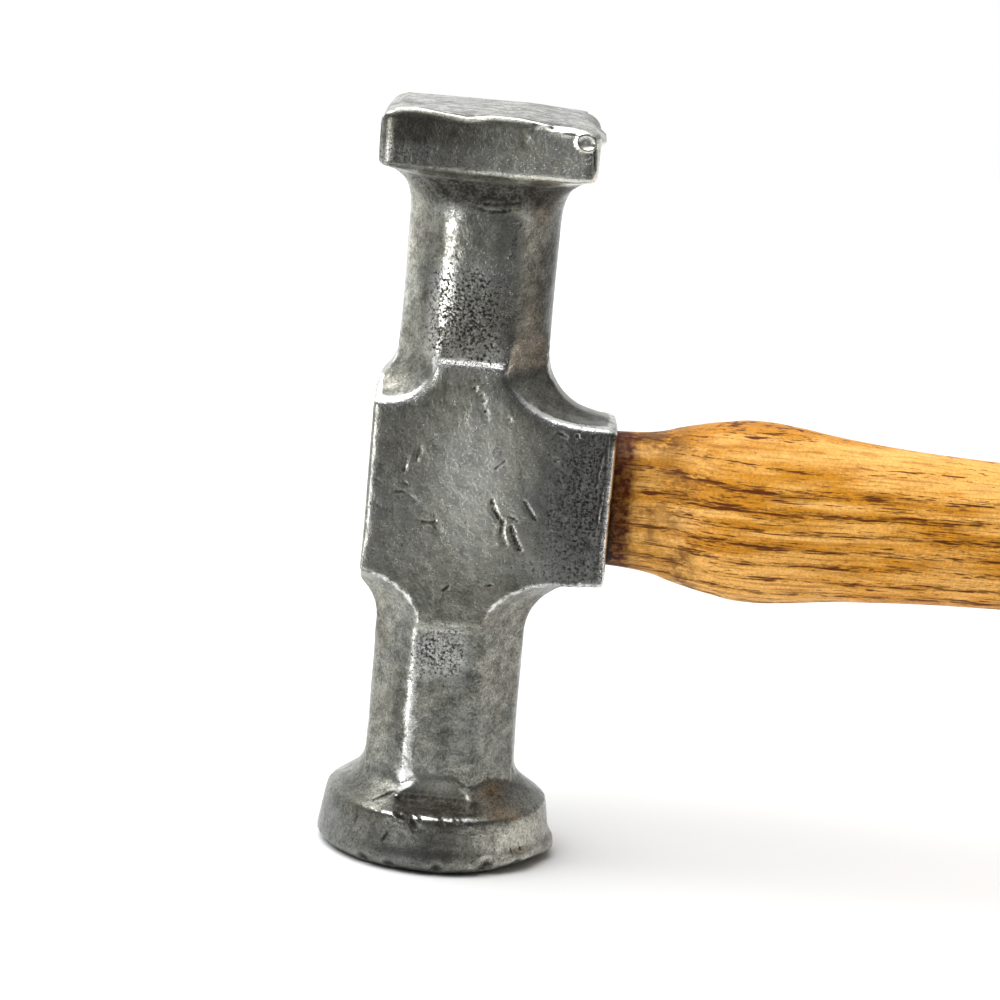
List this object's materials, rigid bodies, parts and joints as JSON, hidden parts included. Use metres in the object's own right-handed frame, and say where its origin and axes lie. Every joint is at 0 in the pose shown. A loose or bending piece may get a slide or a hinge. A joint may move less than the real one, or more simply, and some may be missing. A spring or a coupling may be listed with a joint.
{
  "type": "double-faced hammer",
  "caption": "Forged steel bumping hammer head with one square and one round face on thick eight-sided necks, wedged onto a long tapering hickory handle.",
  "frame": {"origin": "centre of the round striking face", "axes": "+Z along the head's axis towards the square face, +X along the handle towards its butt, Y across the two cheeks"},
  "size_m": [0.3284, 0.0348, 0.1108],
  "materials": {
    "forged_steel": "worn forged steel, satin, pitted and bright at the edges",
    "hickory": "oiled hickory with short dark pores along the grain",
    "wedge_wood": "plain dry hardwood end grain",
    "wedge_steel": "dark steel, dented where it was driven in"
  },
  "bodies": {
    "root": {"head": "forged_steel", "handle": "hickory", "wood_wedge": "wedge_wood", "steel_wedge_upper": "wedge_steel", "steel_wedge_lower": "wedge_steel"}
  },
  "joints": []
}
